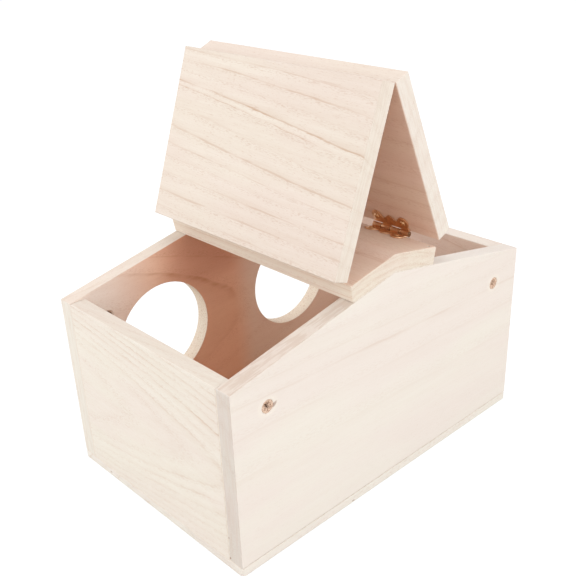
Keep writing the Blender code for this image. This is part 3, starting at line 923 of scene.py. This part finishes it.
end_face, long_face = in_mm(cad_box[1][0]), in_mm(cad_box[1][1])
gable_top, eaves = in_mm(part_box("back_panel")[1][2]), in_mm(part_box("right_end_panel")[1][2])
base = in_mm(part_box("bottom_board")[1][2]) + seam_half
corner_seam = in_mm(wall_inner) - seam_half
end_room, side_room, base_room, eaves_room = 0.6, 1.6, 0.65, 0.5
long_run, end_run, ridge_run = end_face - end_room, long_face - side_room, 38.3
corner_low, corner_high = base + base_room, eaves - eaves_room
ridge_seam = gable_top + seam_half
ridge_low = round(ridge_seam - (gable_top - eaves) / end_face * ridge_run, 2)

seams = []
for side in (1, -1):
    face, end = long_face * side, end_face * side
    gable = [(-ridge_run, face, ridge_low), (0, face, ridge_seam), (ridge_run, face, ridge_low)]
    seams += [([(-long_run, face, base), (long_run, face, base)], (0, side, 0), upward),
              ([(end, -end_run, base), (end, end_run, base)], (side, 0, 0), upward),
              (gable, (0, side, 0), upward)]
    for corner in (corner_seam, -corner_seam):
        seams.append(([(end, corner, corner_low), (end, corner, corner_high)], (side, 0, 0), along_y))
for number, (corners, outward, across) in enumerate(seams, 1):
    bead = glue_line(f"glue_line_{number}", corners, outward, across, 60 + number, rubbed)
print(len(seams), "glue lines, the last of", len(bead.data.polygons), "faces")

# %% [markdown]
# ## Torn fibres in the cord holes
#
# A blunt drill tears paulownia instead of cutting it. The four small holes are therefore ragged and
# brown inside, most of all at the two sides where the drill meets the grain end-on. Each hole gets
# a thin lining, a closed tube whose inner wall is rough. It is one grid: the first parameter goes
# round the hole, the second runs through it along the inner wall and back along the outer one.

# %% Torn lining surface
steps_round, steps_through, steps_back = 96, 26, 6
lining_outer, lining_inner, narrowest = 4.40, 4.26, 0.3
lining_depth = 11.6
tuft_base, tuft_growth, side_growth = 0.8, 3.1, 0.25
tuft_mean, least_tuft, most_tuft = 0.8, 0.5, 1.2
loose_depth, loose_spread = 2.0, 1.5
rim_inset, rim_raggedness = 0.25, 0.5


def closed_grid(name, points, look):
    """Piece from a grid of points that closes on itself both ways, with the faces outwards."""
    index = np.arange(points[..., 0].size).reshape(points.shape[:2])
    ahead, beside = np.roll(index, -1, 0), np.roll(index, -1, 1)
    faces = np.stack([index, beside, np.roll(beside, -1, 0), ahead], -1).reshape(-1, 4)
    piece = wooden_piece(name, points, faces.tolist(), look)
    piece.data.shade_smooth()
    return piece


def torn_lining(name, x_centre, z_centre, face_way, seed, look):
    """Lining of one hole: radius = wall less tufts, and depth = a little in from both faces.

    The tufts are noise round and through the hole, weighed by the square of the cosine of the
    angle, so they are thickest where the drill met the grain end-on, and by a bell curve of the
    depth, because most fibres stand loose a little way in from the outer face. On the entrance
    side, which is mirrored, the grid runs the other way round, so that its faces still look out.
    """
    round_way = np.linspace(0, 2 * np.pi, steps_round, endpoint=False)[:, None]
    through = np.linspace(0, 1, steps_through)[None, :]
    back = np.linspace(1, 0, steps_back)[None, :]
    side_on = 1 - side_growth + side_growth * np.cos(round_way) ** 2
    tufts = np.clip(ragged(round_way, 6 * through, seed, (9, 23)) + tuft_mean, least_tuft, most_tuft)
    loose = np.exp(-((lining_depth * through - loose_depth) / loose_spread) ** 2)
    inner = np.maximum(lining_inner - (tuft_base + tuft_growth * loose) * tufts * side_on, narrowest)
    outer = np.full((steps_round, steps_back), lining_outer)
    rim = rim_inset + rim_raggedness * np.clip(ragged(round_way, 0.0, seed + 1, (7, 17)), 0, 1)
    inner_depth = rim + (lining_depth - rim) * through
    outer_depth = rim + (lining_depth - rim) * back
    radius = np.concatenate([inner, outer], 1) * mm
    depth = np.concatenate([inner_depth, outer_depth], 1) * mm
    x = x_centre + radius * np.cos(round_way)
    y = face_way * (long_face * mm - depth)
    z = z_centre + radius * np.sin(round_way)
    points = np.stack(np.broadcast_arrays(x, y, z), -1)
    return closed_grid(name, points if face_way > 0 else points[::-1], look)


print("a lining has", steps_round * (steps_through + steps_back), "points")

# %% Torn wood and the four linings
torn, tree, shader, source = new_look("torn_fibres")
strand_stretch = (900, 2600, 2600)
strands = noise(tree, vector_of(tree, "MULTIPLY", source["Object"], strand_stretch), 1.0, 3.0, 0.6)
clumps = noise(tree, source["Object"], 900.0)
brown = blend_of(tree, ramp(tree, strands, 0.35, 0.65), (0.58, 0.40, 0.30), (0.90, 0.73, 0.60))
brown = blend_of(tree, ramp(tree, clumps, 0.5, 0.72, 0.0, 0.6), brown, (0.42, 0.25, 0.17))
feed(tree, shader, {"Base Color": brown, "Roughness": 0.85, "Specular IOR Level": 0.15,
                    "Normal": relief_of(tree, strands, 0.6, 0.2 * mm)})

for number, (side, face_way) in enumerate(((1, 1), (-1, 1), (1, -1), (-1, -1)), 1):
    lining = torn_lining(f"torn_fibres_{number}", side * hole_x, hole_z, face_way, 40 + number, torn)
print("four linings of", len(lining.data.polygons), "faces")

# %% [markdown]
# ## Floor and light
#
# The box stands on a pale floor in a bright room. The room's dim light is a little warm, as it is
# where it has bounced from wood, and five soft, slightly cool lamps light the faces: one for each
# side that the picture shows, two from above, and one for the side with the entrances. The floor
# and the room look white only to the camera and to what mirrors them, so that white lights nothing
# else. The floor's glow is tinted against the warm light on it, so that the far floor stays white,
# and its paper is grey enough to keep the box's shadow.

# %% Floor
floor_reach = 6.0


def seen_apart(tree, lighting, seen):
    """Shader that lights the box as one thing, and shows itself and its mirror image as another."""
    rays = put(tree, "LightPath").outputs
    looked_at = math_of(tree, "MAXIMUM", rays["Is Camera Ray"], rays["Is Glossy Ray"])
    looked_at = math_of(tree, "MAXIMUM", looked_at, rays["Is Transmission Ray"])
    feeds = {0: looked_at, 1: lighting.outputs[0], 2: seen.outputs[0]}
    return put(tree, "MixShader", feeds).outputs[0]


floor_mesh = bpy.data.meshes.new("floor")
corners = [(x * floor_reach, y * floor_reach, 0) for x, y in ((-1, -1), (1, -1), (1, 1), (-1, 1))]
floor_mesh.from_pydata(corners, [], [(0, 1, 2, 3)])
floor = add_object("floor", floor_mesh)
floor_look = bpy.data.materials.new("floor_paper")
floor_look.use_nodes = True
tree = floor_look.node_tree
tree.nodes.clear()
paper = put(tree, "BsdfDiffuse", {"Color": (0.56, 0.50, 0.44, 1)})
dim_paper = put(tree, "BsdfDiffuse", {"Color": (0.44, 0.44, 0.44, 1)})
glow = put(tree, "Emission", {"Color": (0.915, 0.97, 1, 1), "Strength": 0.68})
white = put(tree, "AddShader", {0: dim_paper.outputs[0], 1: glow.outputs[0]})
put(tree, "OutputMaterial", {"Surface": seen_apart(tree, paper, white)})
floor_mesh.materials.append(floor_look)
print("floor of", 2 * floor_reach, "m a side")

# %% Room
room = bpy.data.worlds.new("room")
room.use_nodes = True
tree = room.node_tree
tree.nodes.clear()
ambient = put(tree, "Background", {"Color": (0.99, 0.89, 0.84, 1), "Strength": 0.87})
backdrop = put(tree, "Background", {"Color": (1, 1, 1, 1), "Strength": 1.0})
put(tree, "OutputWorld", {"Surface": seen_apart(tree, ambient, backdrop)})
bpy.context.scene.world = room
print("room has", len(tree.nodes), "nodes")

# %% Lamps
lamp_target = Vector((0, 0, 0.11))
lamps = {
    "end_light": ((1.80, -0.25, 0.62), 9.0, 1.2, (0.89, 0.97, 1.0)),
    "side_light": ((-0.10, 1.95, 0.60), 11.9, 1.0, (0.88, 0.97, 1.0)),
    "high_light": ((0.10, 1.55, 1.15), 4.3, 0.8, (0.89, 0.97, 1.0)),
    "top_light": ((0.20, 0.0, 2.1), 4.8, 1.2, (0.89, 0.97, 1.0)),
    "far_light": ((1.30, -1.60, 0.75), 10.6, 1.0, (0.90, 0.97, 1.0))}
for name, (place, power, size, colour) in lamps.items():
    light = bpy.data.lights.new(name, "AREA")
    light.energy = power
    light.size = size
    light.color = colour
    lamp = add_object(name, light)
    lamp.location = place
    lamp.rotation_euler = (lamp_target - Vector(place)).to_track_quat("-Z", "Y").to_euler()
bpy.context.scene.view_settings.view_transform = "Standard"
print("lit by", len(lamps), "lamps")
